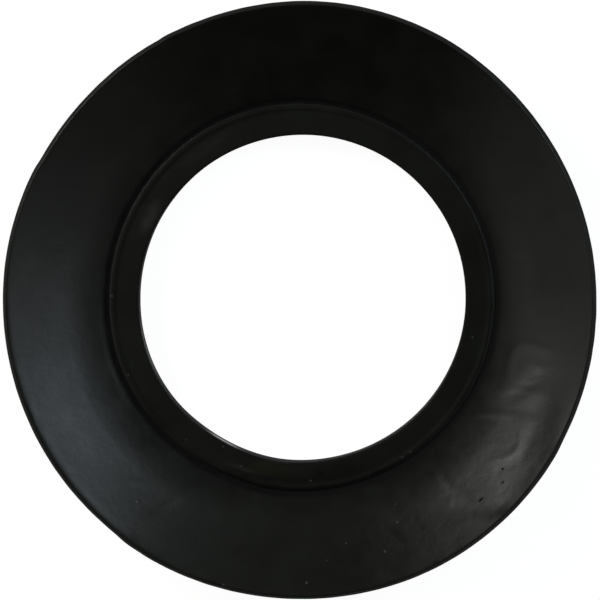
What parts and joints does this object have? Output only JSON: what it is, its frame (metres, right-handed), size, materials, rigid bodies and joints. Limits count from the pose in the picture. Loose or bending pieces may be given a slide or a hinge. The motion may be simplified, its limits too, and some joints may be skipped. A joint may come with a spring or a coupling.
{
  "type": "flush valve seal",
  "caption": "Black moulded rubber ring seal for a cistern flush valve: a thick bored hub with a small raised bead, and a thin cupped sealing lip that tapers up to the rim.",
  "frame": {"origin": "on the bore's axis, in the plane that the hub's foot stands on", "axes": "+Z along the bore's axis, out of the cupped side; the ring looks the same all round it"},
  "size_m": [0.086, 0.086, 0.009],
  "materials": {
    "seal_rubber": "black moulded rubber with a soft satin sheen"
  },
  "bodies": {
    "root": {"flush_valve_seal": "seal_rubber"}
  },
  "joints": []
}
